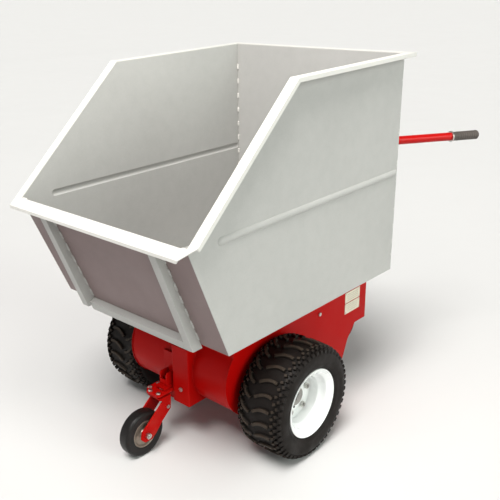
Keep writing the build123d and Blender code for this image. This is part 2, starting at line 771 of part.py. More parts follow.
with BuildPart() as caster_hub:
    with BuildSketch(caster_mid):
        with BuildLine():
            Polyline(
                (KINGPIN_X - 25, CASTER_RADIUS + axle_bolt_radius + RUNNING),
                (KINGPIN_X + 25, CASTER_RADIUS + axle_bolt_radius + RUNNING),
                (KINGPIN_X + 25, CASTER_RADIUS + 17),
                (KINGPIN_X + 12, CASTER_RADIUS + 20),
                (KINGPIN_X + 10, CASTER_RADIUS + 40),
                (KINGPIN_X + 20, CASTER_RADIUS + 45),
                (KINGPIN_X + 20, CASTER_RADIUS + CASTER_HUB_RADIUS),
                (KINGPIN_X - 20, CASTER_RADIUS + CASTER_HUB_RADIUS),
                (KINGPIN_X - 20, CASTER_RADIUS + 45),
                (KINGPIN_X - 10, CASTER_RADIUS + 40),
                (KINGPIN_X - 12, CASTER_RADIUS + 20),
                (KINGPIN_X - 25, CASTER_RADIUS + 17),
                close=True,
            )
        make_face()
    revolve(axis=caster_spin)
save(caster_hub.part, "caster_hub")

# ---------------------------------------------------------------- rear caster
REAR_PIVOT_Y = 580.0
REAR_TRAIL = 35.0
REAR_RADIUS = 85.0
REAR_HALF_WIDTH = 22.0
REAR_HUB_RADIUS = 50.0
REAR_FORK_HALF = 33.0
REAR_CROWN_Z = (186.0, 192.0)
REAR_TOP_Z = (204.0, 212.0)
rear_wheel_y = REAR_PIVOT_Y - REAR_TRAIL
rear_mount_z = TAIL_Z + 1

with BuildPart() as rear_mount:
    with BuildSketch(Plane.XY.offset(REAR_TOP_Z[0])):
        with Locations((0, REAR_PIVOT_Y - 4)):
            RectangleRounded(100, 60, 6)
        with Locations((0, REAR_PIVOT_Y)):
            Circle(kingpin_bore, mode=Mode.SUBTRACT)
    extrude(amount=REAR_TOP_Z[1] - REAR_TOP_Z[0])
    with BuildSketch(Plane.XY.offset(REAR_TOP_Z[1])):
        with Locations((0, REAR_PIVOT_Y - 4)):
            Rectangle(80, 52)
            Rectangle(68, 40, mode=Mode.SUBTRACT)
    extrude(amount=rear_mount_z - REAR_TOP_Z[1])
save(rear_mount.part, "rear_caster_mount")

rear_arm = [
    (REAR_PIVOT_Y - 26, REAR_CROWN_Z[1]),
    (rear_wheel_y - 20, REAR_RADIUS + 4),
    (rear_wheel_y - 13, REAR_RADIUS - 15),
    (rear_wheel_y + 13, REAR_RADIUS - 15),
    (rear_wheel_y + 20, REAR_RADIUS + 4),
    (REAR_PIVOT_Y + 26, REAR_CROWN_Z[1]),
]
with BuildPart() as rear_fork:
    for low in (-REAR_FORK_HALF, REAR_FORK_HALF - FORK_SHEET):
        with BuildSketch(Plane.YZ.offset(low)):
            with BuildLine():
                Polyline(*rear_arm, close=True)
            make_face()
            with Locations((rear_wheel_y, REAR_RADIUS)):
                Circle(axle_bolt_radius, mode=Mode.SUBTRACT)
        extrude(amount=FORK_SHEET)
    with BuildSketch(Plane.XY.offset(REAR_CROWN_Z[0])):
        with Locations((0, REAR_PIVOT_Y)):
            Rectangle(2 * REAR_FORK_HALF, 52)
    extrude(amount=REAR_CROWN_Z[1] - REAR_CROWN_Z[0])
    with BuildSketch(Plane.XY.offset(REAR_CROWN_Z[1])):
        with Locations((0, REAR_PIVOT_Y)):
            Circle(25)
    extrude(amount=REAR_TOP_Z[0] - 0.3 - REAR_CROWN_Z[1])
    with BuildSketch(Plane.XY.offset(REAR_TOP_Z[0] - 0.3)):
        with Locations((0, REAR_PIVOT_Y)):
            Circle(PIN_RADIUS)
    extrude(amount=REAR_TOP_Z[1] - REAR_TOP_Z[0] + 10)
with BuildPart() as rear_axle:
    with BuildSketch(Plane.YZ.offset(-REAR_FORK_HALF - 10)):
        with Locations((rear_wheel_y, REAR_RADIUS)):
            Circle(axle_bolt_radius)
    extrude(amount=2 * REAR_FORK_HALF + 20)
    for low in (-REAR_FORK_HALF - 8, REAR_FORK_HALF):
        with BuildSketch(Plane.YZ.offset(low)):
            with Locations((rear_wheel_y, REAR_RADIUS)):
                RegularPolygon(11, 6)
        extrude(amount=8)
joined([rear_fork.part, rear_axle.part], "rear_caster_fork")

with BuildPart() as rear_tyre:
    with BuildSketch(Plane.YZ.offset(-REAR_HALF_WIDTH)):
        with Locations((rear_wheel_y, REAR_RADIUS)):
            Circle(REAR_RADIUS)
            Circle(REAR_HUB_RADIUS, mode=Mode.SUBTRACT)
    extrude(amount=2 * REAR_HALF_WIDTH)
    fillet(rear_tyre.edges().filter_by(GeomType.CIRCLE).group_by(SortBy.RADIUS)[-1], 9)
save(rear_tyre.part, "rear_caster_tyre")

with BuildPart() as rear_hub:
    with BuildSketch(Plane.YZ.offset(-REAR_HALF_WIDTH + 3)):
        with Locations((rear_wheel_y, REAR_RADIUS)):
            Circle(REAR_HUB_RADIUS)
    extrude(amount=2 * REAR_HALF_WIDTH - 6)
    with BuildSketch(Plane.YZ.offset(-REAR_FORK_HALF + FORK_SHEET + 0.5)):
        with Locations((rear_wheel_y, REAR_RADIUS)):
            Circle(17)
    extrude(amount=2 * (REAR_FORK_HALF - FORK_SHEET - 0.5))
    with BuildSketch(Plane.YZ.offset(-REAR_FORK_HALF)):
        with Locations((rear_wheel_y, REAR_RADIUS)):
            Circle(axle_bolt_radius + RUNNING)
    extrude(amount=2 * REAR_FORK_HALF, mode=Mode.SUBTRACT)
save(rear_hub.part, "rear_caster_hub")

# ---------------------------------------------------------------- drive wheels
axle_line = Axis((0, 0, AXLE_Z), (1, 0, 0))
BEAD_RADIUS = 101.0
WELL_RADIUS = 88.0


def wheel_points(side, profile):
    """(x, z) points of a wheel section from (out from the wheel's middle, radius)."""
    return [(side * (WHEEL_X + across), AXLE_Z + radius) for across, radius in profile]


outer_section = [
    (-RIM_HALF, RIM_FLANGE_RADIUS), (-80, RIM_FLANGE_RADIUS), (-80, 104), (-77, BEAD_RADIUS),
    (-50, 100), (-38, WELL_RADIUS), (38, WELL_RADIUS), (50, 100), (77, BEAD_RADIUS), (80, 104),
    (80, RIM_FLANGE_RADIUS), (RIM_HALF, RIM_FLANGE_RADIUS),
]
inner_section = [
    (RIM_HALF, 102), (80, 97), (52, 96), (40, 84), (4, 84), (4, 62), (10, 45), (10, 33),
    (5, 33), (5, 45), (-1, 62), (-1, 84), (-40, 84), (-52, 96), (-80, 97), (-RIM_HALF, 102),
]
tyre_outer = [
    (76.8, 101.1), (79.8, 104.2), (79.8, 122.2), (86, 126.5), (94, 148),
    (TYRE_HALF_WIDTH, 170), (90, 188), (78, 199), (50, TYRE_RADIUS), (-50, TYRE_RADIUS),
    (-78, 199), (-90, 188), (-TYRE_HALF_WIDTH, 170), (-94, 148), (-86, 126.5),
    (-79.8, 122.2), (-79.8, 104.2), (-76.8, 101.1),
]
tyre_inner = [
    (-66, 100.7), (-66, 108), (-76, 128), (-84, 150), (-85, 168), (-80, 179), (-66, 186),
    (-48, 189), (48, 189), (66, 186), (80, 179), (85, 168), (84, 150), (76, 128), (66, 108),
    (66, 100.7),
]

for name, side in SIDES.items():
    with BuildPart() as wheel_rim:
        with BuildSketch(Plane.XZ):
            with BuildLine():
                Polyline(*wheel_points(side, outer_section + inner_section), close=True)
            make_face()
        revolve(axis=axle_line)
        with BuildSketch(Plane.YZ.offset(side * (WHEEL_X - 5))):
            with Locations((0, AXLE_Z)):
                with PolarLocations(LUG_CIRCLE, LUG_COUNT, start_angle=90):
                    Circle(7)
        extrude(amount=side * 20, mode=Mode.SUBTRACT)
    save(wheel_rim.part, f"wheel_rim_{name}")

    with BuildPart() as tyre:
        with BuildSketch(Plane.XZ):
            with BuildLine():
                Polyline(*wheel_points(side, tyre_outer + tyre_inner), close=True)
            make_face()
        revolve(axis=axle_line)
    save(tyre.part, f"tyre_{name}")

    shaft_low, shaft_width = sides(side, CASE_HALF + 12, WHEEL_X + 24)
    flange_low, flange_width = sides(side, WHEEL_X - 14, WHEEL_X - 1.2)
    boss_low, boss_width = sides(side, AXLE_TUBE_END + 2, WHEEL_X + 16)
    stud_low, stud_width = sides(side, WHEEL_X - 8, WHEEL_X + 22)
    with BuildPart() as hub:
        for low, width, radius in (
            (shaft_low, shaft_width, SHAFT_RADIUS),
            (flange_low, flange_width, 75),
            (boss_low, boss_width, 31),
        ):
            with BuildSketch(Plane.YZ.offset(low)):
                with Locations((0, AXLE_Z)):
                    Circle(radius)
            extrude(amount=width)
        with BuildSketch(Plane.YZ.offset(stud_low)):
            with Locations((0, AXLE_Z)):
                with PolarLocations(LUG_CIRCLE, LUG_COUNT, start_angle=90):
                    Circle(6)
        extrude(amount=stud_width)
    save(hub.part, f"hub_{name}")

    nut_low, nut_width = sides(side, WHEEL_X + 9.8, WHEEL_X + 20)
    with BuildPart() as lug_nuts:
        with BuildSketch(Plane.YZ.offset(nut_low)):
            with Locations((0, AXLE_Z)):
                with PolarLocations(LUG_CIRCLE, LUG_COUNT, start_angle=90):
                    RegularPolygon(11, 6)
                    Circle(6 + RUNNING, mode=Mode.SUBTRACT)
        extrude(amount=nut_width)
    joined(lug_nuts.part.solids(), f"lug_nuts_{name}")

# ---------------------------------------------------------------- handles
HANDLE_BEND = 110.0
CROSSBAR_Z = 700.0
CLAMP_Z = (440.0, 485.0)
collars = []
grip_planes = {}
for name, side in SIDES.items():
    end = Vector(side * GRIP_END[0], GRIP_END[1], GRIP_END[2])
    elbow = Vector(side * HANDLE_X, HANDLE_Y, HANDLE_TOP_Z)
    foot = Vector(side * HANDLE_X, HANDLE_Y, HANDLE_FOOT_Z)
    along = (end - elbow).normalized()
    grip_planes[name] = Plane(origin=end, x_dir=(0, 0, 1), z_dir=-along)
    with BuildPart() as handle:
        with BuildLine():
            FilletPolyline(foot, elbow, end, radius=HANDLE_BEND)
        with BuildSketch(Plane.XY.offset(HANDLE_FOOT_Z).move(Location((foot.X, foot.Y, 0)))):
            Circle(TUBE_RADIUS)
            Circle(TUBE_RADIUS - TUBE_WALL, mode=Mode.SUBTRACT)
        sweep()
    save(handle.part, f"handle_{name}")

    with BuildPart() as collar:
        with BuildSketch(grip_planes[name].offset(GRIP_LENGTH + 0.4)):
            Circle(22)
            Circle(TUBE_RADIUS, mode=Mode.SUBTRACT)
        extrude(amount=5)
    collars.append(collar.part)
joined(collars, "grip_collars")

for name, label, gap in (("left", "grip_left", 0.0), ("right", "throttle_grip", 0.1)):
    with BuildPart() as grip:
        with BuildSketch(grip_planes[name].offset(-4)):
            Circle(19)
        extrude(amount=8)
        with BuildSketch(grip_planes[name].offset(4)):
            Circle(18.2)
        extrude(amount=GRIP_LENGTH - 9)
        with BuildSketch(grip_planes[name].offset(GRIP_LENGTH - 5)):
            Circle(20)
        extrude(amount=5)
        with BuildSketch(grip_planes[name].offset(-gap)):
            Circle(TUBE_RADIUS + gap)
        extrude(amount=GRIP_LENGTH + 1, mode=Mode.SUBTRACT)
    save(grip.part, label)

with BuildPart() as crossbar:
    with BuildSketch(Plane.YZ.offset(-HANDLE_X)):
        with Locations((HANDLE_Y, CROSSBAR_Z)):
            Circle(11)
            Circle(9, mode=Mode.SUBTRACT)
    extrude(amount=2 * HANDLE_X)
    for side in SIDES.values():
        with BuildSketch(Plane.XY.offset(CROSSBAR_Z - 30)):
            with Locations((side * HANDLE_X, HANDLE_Y)):
                Circle(TUBE_RADIUS)
        extrude(amount=60, mode=Mode.SUBTRACT)

clamps = []
for side in SIDES.values():
    with BuildPart() as clamp:
        with BuildSketch(Plane.XY.offset(CLAMP_Z[0])):
            with Locations((side * HANDLE_X, (tail_rear + HANDLE_Y) / 2)):
                Rectangle(60, HANDLE_Y - tail_rear)
            with Locations((side * HANDLE_X, HANDLE_Y)):
                Circle(23)
                Circle(TUBE_RADIUS, mode=Mode.SUBTRACT)
        extrude(amount=DECK_Z - CLAMP_Z[0])
    clamps.append(clamp.part)
middle_bar = crossbar.part.solids().sort_by(SortBy.VOLUME)[-1]
joined(clamps + [middle_bar], "handle_brace")

BOX_X = 150.0
BOX_Y = (HANDLE_Y + 11, HANDLE_Y + 61)
BOX_Z = (650.0, 750.0)
with BuildPart() as control_box:
    with BuildSketch(Plane.XY.offset(BOX_Z[0])):
        with Locations((0, sum(BOX_Y) / 2)):
            RectangleRounded(BOX_X, BOX_Y[1] - BOX_Y[0], 6)
    extrude(amount=BOX_Z[1] - BOX_Z[0])
    with BuildSketch(Plane.XY.offset(BOX_Z[1])):
        with Locations((-45, sum(BOX_Y) / 2)):
            Circle(6)
    extrude(amount=-14, mode=Mode.SUBTRACT)
save(control_box.part, "control_box")

with BuildPart() as key:
    with BuildSketch(Plane.XY.offset(BOX_Z[1] - 13)):
        with Locations((-45, sum(BOX_Y) / 2)):
            Circle(6 - RUNNING)
    extrude(amount=17)
    with BuildSketch(Plane.XY.offset(BOX_Z[1] + 4)):
        with Locations((-45, sum(BOX_Y) / 2)):
            Rectangle(20, 3)
    extrude(amount=22)
    fillet(key.edges().filter_by(Axis.Y).group_by(Axis.Z)[-1], 6)
save(key.part, "key")

# ---------------------------------------------------------------- dump latch
LATCH_Y = 578.0
LATCH_Z = 492.0
STRIKER_Y = 551.0
STRIKER_Z = 541.0
LATCH_PIN = 5.0
ARM_DEG = 50.0
HOOK_INNER = 62.0
HOOK_OUTER = 72.0
HOOK_SWEEP = 35.0

bracket_plates = []
for side in SIDES.values():
    low, width = sides(side, 6.5, 11.5)
    with BuildPart() as bracket_plate:
        with BuildSketch(Plane.YZ.offset(low)):
            with Locations((LATCH_Y, LATCH_Z)):
                Circle(12)
            with Locations((LATCH_Y, DECK_Z + 2)):
                Rectangle(44, 4)
            make_hull()
        extrude(amount=width)
    bracket_plates.append(bracket_plate.part)
with BuildPart() as latch_pin:
    with BuildSketch(Plane.YZ.offset(-6.5)):
        with Locations((LATCH_Y, LATCH_Z)):
            Circle(LATCH_PIN)
    extrude(amount=13)
joined(bracket_plates + [latch_pin.part], "latch_bracket")

with BuildPart() as latch_lever:
    with BuildSketch(Plane.YZ.offset(-5)):
        with Locations((LATCH_Y, LATCH_Z)):
            Circle(14)
            with Locations(Location((0, 0, 0), (0, 0, ARM_DEG))):
                with Locations((70, 0)):
                    Rectangle(140, 14)
    extrude(amount=10)
    with BuildSketch(Plane.YZ.offset(-5)):
        with BuildLine():
            outer = CenterArc((LATCH_Y, LATCH_Z), HOOK_OUTER, ARM_DEG, HOOK_SWEEP)
            inner = CenterArc((LATCH_Y, LATCH_Z), HOOK_INNER, ARM_DEG, HOOK_SWEEP)
            Line(outer @ 0, inner @ 0)
            Line(outer @ 1, inner @ 1)
        make_face()
    extrude(amount=10)
    with BuildSketch(Plane.YZ.offset(-5)):
        with Locations((LATCH_Y, LATCH_Z)):
            Circle(LATCH_PIN + RUNNING)
    extrude(amount=10, mode=Mode.SUBTRACT)
    knob_y = LATCH_Y + 150 * cos(radians(ARM_DEG))
    knob_z = LATCH_Z + 150 * sin(radians(ARM_DEG))
    with Locations((0, knob_y, knob_z)):
        Sphere(16)
save(latch_lever.part, "latch_lever")

striker_ears = []
for side in SIDES.values():
    low, width = sides(side, 12, 17)
    with BuildPart() as striker_ear:
        with BuildSketch(Plane.YZ.offset(low)):
            with Locations((STRIKER_Y, STRIKER_Z)):
                Circle(9)
            with Locations((REAR_Y + 1, STRIKER_Z)):
                Rectangle(2, 30)
            make_hull()
            with Locations((STRIKER_Y, STRIKER_Z)):
                Circle(LATCH_PIN, mode=Mode.SUBTRACT)
        extrude(amount=width)
    striker_ears.append(striker_ear.part)
with BuildPart() as striker_pin:
    with BuildSketch(Plane.YZ.offset(-17)):
        with Locations((STRIKER_Y, STRIKER_Z)):
            Circle(LATCH_PIN)
    extrude(amount=34)
joined(striker_ears + [striker_pin.part], "latch_striker")
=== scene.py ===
import json
import math
import random

import bmesh
import bpy
from mathutils import Matrix, Vector


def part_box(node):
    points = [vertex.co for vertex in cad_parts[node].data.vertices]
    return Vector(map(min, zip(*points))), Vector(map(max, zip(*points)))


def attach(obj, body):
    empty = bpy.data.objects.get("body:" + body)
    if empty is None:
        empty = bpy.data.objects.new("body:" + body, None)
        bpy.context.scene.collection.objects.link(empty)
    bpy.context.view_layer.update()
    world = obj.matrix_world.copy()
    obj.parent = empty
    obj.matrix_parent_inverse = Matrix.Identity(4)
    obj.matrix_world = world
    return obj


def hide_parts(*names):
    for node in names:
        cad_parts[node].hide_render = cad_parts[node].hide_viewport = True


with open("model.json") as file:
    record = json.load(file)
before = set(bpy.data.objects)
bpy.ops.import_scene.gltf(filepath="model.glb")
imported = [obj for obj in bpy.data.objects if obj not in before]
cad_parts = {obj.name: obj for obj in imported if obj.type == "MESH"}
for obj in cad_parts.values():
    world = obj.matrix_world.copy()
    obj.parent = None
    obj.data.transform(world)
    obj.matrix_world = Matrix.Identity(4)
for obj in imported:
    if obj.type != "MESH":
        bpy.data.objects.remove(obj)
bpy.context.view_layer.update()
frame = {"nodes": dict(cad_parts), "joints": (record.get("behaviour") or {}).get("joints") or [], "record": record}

MM = 0.001
SIDES = (("left", 1), ("right", -1))
NODES = frame["nodes"]
JOINTS = {joint["name"]: joint for joint in frame["joints"]}
scene = bpy.context.scene


# ------------------------------------------------------------------ materials
def srgb(red, green, blue):
    """Linear colour from 0-255 screen values."""
    def channel(value):
        value /= 255.0
        return value / 12.92 if value <= 0.04045 else ((value + 0.055) / 1.055) ** 2.4
    return (channel(red), channel(green), channel(blue), 1.0)


def tinted(color, factor):
    return tuple(min(1.0, c * factor) for c in color[:3]) + (1.0,)


class Finish:
    """A procedural material, built up in layers in the object's own coordinates."""

    def __init__(self, name, color, roughness, metallic=0.0, coat=0.0, coat_roughness=0.1,
                 specular=0.5):
        self.material = bpy.data.materials.new(name)
        self.material.use_nodes = True
        self.tree = self.material.node_tree
        self.shader = self.tree.nodes["Principled BSDF"]
        self.shader.inputs["Base Color"].default_value = color
        self.shader.inputs["Roughness"].default_value = roughness
        self.shader.inputs["Metallic"].default_value = metallic
        self.shader.inputs["Coat Weight"].default_value = coat
        self.shader.inputs["Coat Roughness"].default_value = coat_roughness
        self.shader.inputs["Specular IOR Level"].default_value = specular
        self.coords = self.node("ShaderNodeTexCoord").outputs["Object"]
        self.color = color
        self.color_out = None
        self.normal_out = None

    def node(self, kind, **values):
        node = self.tree.nodes.new(kind)
        for key, value in values.items():
            setattr(node, key, value)
        return node

    def link(self, output, socket):
        self.tree.links.new(output, socket)

    def noise(self, scale, detail=2.0, stretch=None):
        source = self.coords
        if stretch:
            mapping = self.node("ShaderNodeMapping")
            mapping.inputs["Scale"].default_value = stretch
            self.link(source, mapping.inputs["Vector"])
            source = mapping.outputs["Vector"]
        noise = self.node("ShaderNodeTexNoise")
        noise.inputs["Scale"].default_value = scale
        noise.inputs["Detail"].default_value = detail
        self.link(source, noise.inputs["Vector"])
        return noise.outputs["Fac"]

    def remap(self, value, low, high, to_low=0.0, to_high=1.0):
        remap = self.node("ShaderNodeMapRange")
        remap.inputs["From Min"].default_value = low
        remap.inputs["From Max"].default_value = high
        remap.inputs["To Min"].default_value = to_low
        remap.inputs["To Max"].default_value = to_high
        self.link(value, remap.inputs["Value"])
        return remap.outputs["Result"]

    def times(self, first, second):
        math_node = self.node("ShaderNodeMath", operation="MULTIPLY")
        self.link(first, math_node.inputs[0])
        if isinstance(second, float):
            math_node.inputs[1].default_value = second
        else:
            self.link(second, math_node.inputs[1])
        return math_node.outputs["Value"]

    def layer(self, factor, color):
        """Mixes one more colour in, by a factor."""
        mix = self.node("ShaderNodeMix", data_type="RGBA")
        self.link(factor, mix.inputs["Factor"])
        if self.color_out:
            self.link(self.color_out, mix.inputs["A"])
        else:
            mix.inputs["A"].default_value = self.color
        mix.inputs["B"].default_value = color
        self.color_out = mix.outputs["Result"]
        return self

    def mottle(self, scale, strength):
        """Soft patches, a little darker and a little lighter."""
        patches = self.noise(scale, 3.0)
        self.layer(self.remap(patches, 0.5, 0.75, 0.0, strength), tinted(self.color, 0.72))
        self.layer(self.remap(patches, 0.5, 0.25, 0.0, strength), tinted(self.color, 1.22))
        return self

    def speckle(self, scale, strength, color):
        """Fine specks where a sharp noise peaks."""
        peaks = self.noise(scale, 1.0)
        self.layer(self.remap(peaks, 0.62, 0.72, 0.0, strength), color)
        return self

    def painted_corner_shade(self, distance, strength, color):
        """Painted shade: darker in corners and recesses, found by ambient occlusion and broken up by noise."""
        shade = self.node("ShaderNodeAmbientOcclusion", samples=6)
        shade.inputs["Distance"].default_value = distance
        corner = self.remap(shade.outputs["AO"], 0.9, 0.25, 0.0, strength)
        self.layer(self.times(corner, self.remap(self.noise(30.0, 4.0), 0.2, 0.7, 0.6, 1.0)), color)
        return self

    def dust(self, height, strength, color):
        """Dust from the ground up to a height, thinning upwards."""
        split = self.node("ShaderNodeSeparateXYZ")
        self.link(self.coords, split.inputs["Vector"])
        low = self.remap(split.outputs["Z"], height, 0.0)
        patches = self.remap(self.noise(14.0, 5.0), 0.4, 0.7)
        self.layer(self.times(self.times(low, patches), strength), color)
        return self

    def pale_crown(self, centre, start, end, strength, color):
        """Paler towards the lug tops, by distance from the axle."""
        split = self.node("ShaderNodeSeparateXYZ")
        self.link(self.coords, split.inputs["Vector"])
        flat = self.node("ShaderNodeCombineXYZ")
        self.link(split.outputs["Y"], flat.inputs["Y"])
        self.link(split.outputs["Z"], flat.inputs["Z"])
        reach = self.node("ShaderNodeVectorMath", operation="DISTANCE")
        self.link(flat.outputs["Vector"], reach.inputs[0])
        reach.inputs[1].default_value = (0.0, centre[1], centre[2])
        lighter_tops = self.remap(reach.outputs["Value"], start, end, 0.0, strength)
        self.layer(self.times(lighter_tops, self.remap(self.noise(60.0, 4.0), 0.3, 0.6, 0.55, 1.0)), color)
        return self

    def roughness(self, scale, low, high, stretch=None):
        """Gloss that varies softly between two values."""
        varied = self.remap(self.noise(scale, 3.0, stretch), 0.3, 0.7, low, high)
        self.link(varied, self.shader.inputs["Roughness"])
        return self

    def bump(self, scale, depth, detail=2.0, stretch=None):
        """Fine relief in metres, laid over the bumps and eased edges before it."""
        bump = self.node("ShaderNodeBump")
        bump.inputs["Strength"].default_value = 1.0
        bump.inputs["Distance"].default_value = depth
        self.link(self.noise(scale, detail, stretch), bump.inputs["Height"])
        if self.normal_out:
            self.link(self.normal_out, bump.inputs["Normal"])
        self.normal_out = bump.outputs["Normal"]
        return self

    def eased_edges(self, radius):
        """Edges catch the light as a small round would."""
        bevel = self.node("ShaderNodeBevel", samples=4)
        bevel.inputs["Radius"].default_value = radius
        self.normal_out = bevel.outputs["Normal"]
        return self

    def done(self):
        if self.color_out:
            self.link(self.color_out, self.shader.inputs["Base Color"])
        if self.normal_out:
            self.link(self.normal_out, self.shader.inputs["Normal"])
        return self.material


def hopper_paint(name="hopper_paint", color=srgb(171, 171, 168)):
    finish = Finish(name, color, 0.5, specular=0.16)
    finish.eased_edges(0.0012).mottle(2.2, 0.2).mottle(24.0, 0.12)
    finish.speckle(300.0, 0.2, tinted(color, 0.72)).speckle(210.0, 0.2, tinted(color, 1.2))
    # Painted shade, greyer and darker, in the hopper paint's corners and recesses.
    finish.painted_corner_shade(0.03, 0.3, srgb(150, 146, 138))
    return finish.roughness(5.0, 0.42, 0.58).bump(900.0, 0.00012).bump(7.0, 0.0008, 1.0).done()


def rim_painted_highlight():
    # Lighter copy of the hopper paint for the rims: the extra lightness is a painted highlight standing in for the
    # top light on them.
    color = srgb(208, 207, 202)
    finish = Finish("rim_painted_highlight", color, 0.45, specular=0.2)
    finish.eased_edges(0.0015).mottle(3.0, 0.1).speckle(420.0, 0.1, tinted(color, 0.75))
    # Painted shade, greyer, in the rims' corners and recesses.
    finish.painted_corner_shade(0.02, 0.25, srgb(150, 146, 140))
    return finish.roughness(6.0, 0.3, 0.46).bump(800.0, 0.00012).done()


def frame_paint(name="frame_paint", color=srgb(166, 7, 5), coat=0.02):
    finish = Finish(name, color, 0.38, coat=coat, coat_roughness=0.12, specular=0.05)
    finish.eased_edges(0.0014).mottle(5.0, 0.22).speckle(700.0, 0.1, srgb(120, 10, 8))
    # Painted shade, dark red, in corners and recesses; then dust on the parts near the ground.
    finish.painted_corner_shade(0.025, 0.5, srgb(70, 8, 6)).dust(0.22, 0.16, srgb(150, 120, 100))
    return finish.roughness(9.0, 0.28, 0.44).bump(650.0, 0.00014).bump(12.0, 0.0006, 1.0).done()


def black_paint():
    color = srgb(32, 30, 29)
    finish = Finish("black_paint", color, 0.45)
    finish.eased_edges(0.001).mottle(8.0, 0.3).speckle(500.0, 0.3, srgb(60, 57, 54))
    return finish.roughness(12.0, 0.38, 0.6).bump(500.0, 0.0002).done()


def tyre_rubber():
    color = srgb(20, 15, 12)
    finish = Finish("tyre_rubber", color, 0.62, specular=0.18)
    finish.mottle(18.0, 0.5).speckle(600.0, 0.15, srgb(60, 52, 44))
    finish.pale_crown(JOINTS["left_wheel_spin"]["pos_m"], 0.1945, 0.2015, 0.6, srgb(70, 60, 50))
    # Painted shade, near black, in the tread's grooves and recesses.
    finish.painted_corner_shade(0.016, 0.85, srgb(12, 10, 9))
    return finish.roughness(22.0, 0.46, 0.74).bump(420.0, 0.0003, 4.0).done()


def caster_rubber():
    color = srgb(15, 12, 11)
    finish = Finish("caster_rubber", color, 0.4, specular=0.28)
    finish.mottle(20.0, 0.5).speckle(500.0, 0.2, srgb(66, 58, 52))
    # Painted shade, near black, in the caster tread's recesses.
    finish.painted_corner_shade(0.015, 0.7, srgb(14, 12, 11))
    return finish.roughness(26.0, 0.3, 0.55).bump(380.0, 0.00025, 4.0).done()


def grip_rubber():
    color = srgb(70, 63, 58)
    finish = Finish("grip_rubber", color, 0.6)
    finish.mottle(24.0, 0.4).speckle(700.0, 0.25, srgb(112, 104, 96))
    # Painted shade, dark, between the grip's ribs and in its recesses.
    finish.painted_corner_shade(0.006, 0.6, srgb(26, 23, 21))
    return finish.roughness(30.0, 0.5, 0.7).bump(900.0, 0.0002, 3.0).done()


def pad_rubber():
    color = srgb(34, 33, 32)
    finish = Finish("pad_rubber", color, 0.7).mottle(30.0, 0.5)
    return finish.roughness(20.0, 0.6, 0.8).bump(600.0, 0.0003, 3.0).done()


def wheel_paint():
    color = srgb(236, 238, 237)
    finish = Finish("wheel_paint", color, 0.26, coat=0.3, coat_roughness=0.1)
    # Painted shade, grey, in the wheel's corners and recesses.
    finish.eased_edges(0.001).mottle(9.0, 0.1).painted_corner_shade(0.02, 0.4, srgb(120, 118, 112))
    return finish.roughness(12.0, 0.2, 0.34).bump(700.0, 0.0001).done()


def zinc():
    color = srgb(196, 195, 190)
    finish = Finish("zinc", color, 0.32, metallic=1.0)
    finish.eased_edges(0.0006).mottle(90.0, 0.5).speckle(900.0, 0.4, srgb(130, 126, 118))
    return finish.roughness(120.0, 0.22, 0.45).bump(900.0, 0.00008).done()


def shaft_steel():
    color = srgb(150, 148, 144)
    finish = Finish("shaft_steel", color, 0.38, metallic=1.0)
    # Painted shade, dark brownish, in the shaft's corners and recesses.
    finish.mottle(60.0, 0.5).painted_corner_shade(0.02, 0.6, srgb(60, 50, 42))
    return finish.roughness(90.0, 0.28, 0.5, stretch=(1.0, 6.0, 6.0)).bump(700.0, 0.0001).done()


def caster_metal():
    color = srgb(150, 138, 126)
    finish = Finish("caster_metal", color, 0.42, metallic=0.75)
    finish.mottle(60.0, 0.5).speckle(500.0, 0.35, srgb(90, 78, 68))
    # Painted shade, dark brownish, in the hub's corners and recesses.
    finish.painted_corner_shade(0.012, 0.7, srgb(50, 40, 34))
    return finish.roughness(70.0, 0.32, 0.55).bump(500.0, 0.00015).done()


def cast_case():
    color = srgb(140, 140, 138)
    finish = Finish("cast_case", color, 0.6, metallic=0.7).mottle(40.0, 0.5)
    return finish.roughness(50.0, 0.5, 0.7).bump(260.0, 0.0006, 4.0).done()


def lead():
    color = srgb(105, 108, 112)
    finish = Finish("lead_plates", color, 0.6, metallic=0.6).mottle(60.0, 0.5)
    return finish.roughness(60.0, 0.5, 0.75).bump(300.0, 0.0003, stretch=(8.0, 1.0, 1.0)).done()


def moulded(name, color):
    finish = Finish(name, color, 0.5).mottle(30.0, 0.3)
    finish.speckle(900.0, 0.2, tinted(color, 1.8))
    return finish.roughness(40.0, 0.42, 0.6).bump(1200.0, 0.00015, 2.0).done()


def label_plate():
    color = srgb(214, 208, 188)
    finish = Finish("label_plate", color, 0.4, metallic=0.15)
    finish.mottle(25.0, 0.3).speckle(500.0, 0.2, srgb(170, 160, 140))
    # Painted shade, brownish, beside the plate's rivets and raised lines.
    finish.painted_corner_shade(0.006, 0.5, srgb(80, 60, 50))
    return finish.roughness(60.0, 0.3, 0.5, stretch=(1.0, 1.0, 8.0)).bump(900.0, 0.00008).done()


def floor_finish():
    color = srgb(204, 204, 203)
    finish = Finish("studio_floor", color, 0.8, specular=0.1).mottle(0.6, 0.03)
    return finish.roughness(3.0, 0.65, 0.8).done()


FINISHES = {
    "hopper_paint": hopper_paint(),
    "frame_paint": frame_paint(),
    "black_cover": black_paint(),
    "zinc": zinc(),
    "shaft_steel": shaft_steel(),
    "motor_paint": moulded("motor_paint", srgb(40, 40, 42)),
    "cast_case": cast_case(),
    "lead_plates": lead(),
    "battery_case": moulded("battery_case", srgb(44, 44, 48)),
    "black_plastic": moulded("black_plastic", srgb(36, 36, 36)),
    "rim_paint": wheel_paint(),
    "tyre_rubber": tyre_rubber(),
    "caster_rubber": caster_rubber(),
    "caster_metal": caster_metal(),
    "grip_rubber": grip_rubber(),
    "pad_rubber": pad_rubber(),
    "label_plate": label_plate(),
}
